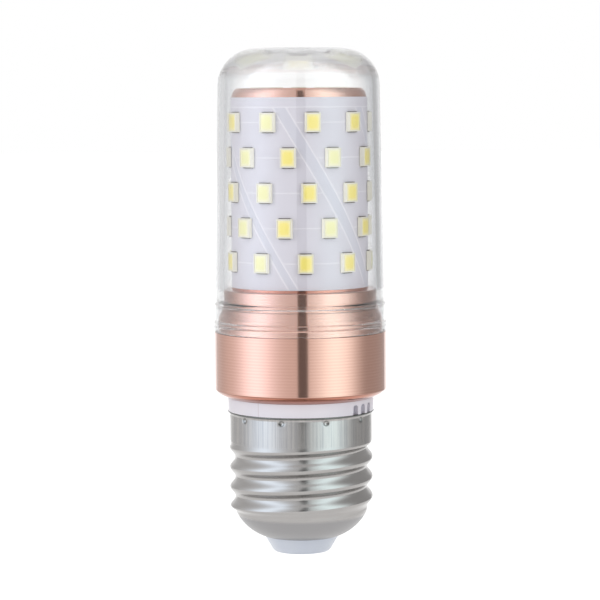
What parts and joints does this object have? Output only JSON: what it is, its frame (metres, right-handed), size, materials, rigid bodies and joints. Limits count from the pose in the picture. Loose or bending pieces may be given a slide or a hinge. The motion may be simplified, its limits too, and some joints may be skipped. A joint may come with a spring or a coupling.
{
  "type": "led light bulb",
  "caption": "Tubular LED bulb: clear moulded cover over a round board of side LEDs, stepped rose-gold aluminium body, white base and screw cap.",
  "frame": {"origin": "on the bulb's axis at the lowest point of the centre contact", "axes": "+Z along the axis, from the cap up to the top of the cover; -Y is the front of the picture"},
  "size_m": [0.0316, 0.0316, 0.0925],
  "materials": {
    "nickel_cap": "rolled, nickel plated",
    "insulator_white": "moulded",
    "contact_metal": "plated",
    "base_white": "moulded",
    "rose_gold_aluminium": "turned, anodised",
    "board_white": "solder mask",
    "led_package": "moulded",
    "warm_phosphor": "silicone gel",
    "cool_phosphor": "silicone gel",
    "clear_polycarbonate": "clear, glossy",
    "circuit_board": "solder mask",
    "capacitor_sleeve": "shrink sleeve",
    "film_red": "dipped",
    "ferrite": "fired",
    "copper_wire": "enamelled",
    "chip_black": "moulded",
    "resistor_body": "lacquer",
    "ceramic_tan": "fired",
    "wire_sleeve": "insulation"
  },
  "bodies": {
    "root": {"screw_shell": "nickel_cap", "cap_insulator": "insulator_white", "centre_contact": "contact_metal", "plastic_base": "base_white", "heat_sink": "rose_gold_aluminium", "side_board": "board_white", "side_led_frames": "led_package", "side_warm_phosphor": "warm_phosphor", "side_cool_phosphor": "cool_phosphor", "top_board": "board_white", "top_led_frames": "led_package", "top_warm_phosphor": "warm_phosphor", "top_cool_phosphor": "cool_phosphor", "clear_cover": "clear_polycarbonate", "driver_board": "circuit_board", "electrolytic_capacitor": "capacitor_sleeve", "film_capacitor": "film_red", "inductor": "ferrite", "inductor_winding": "copper_wire", "bridge_rectifier": "chip_black", "control_chip": "chip_black", "driver_chip": "chip_black", "fusible_resistor": "resistor_body", "chip_resistors": "chip_black", "chip_capacitors": "ceramic_tan", "top_board_wires": "wire_sleeve", "side_board_wires": "wire_sleeve", "live_wire": "wire_sleeve", "neutral_wire": "wire_sleeve"}
  },
  "joints": []
}
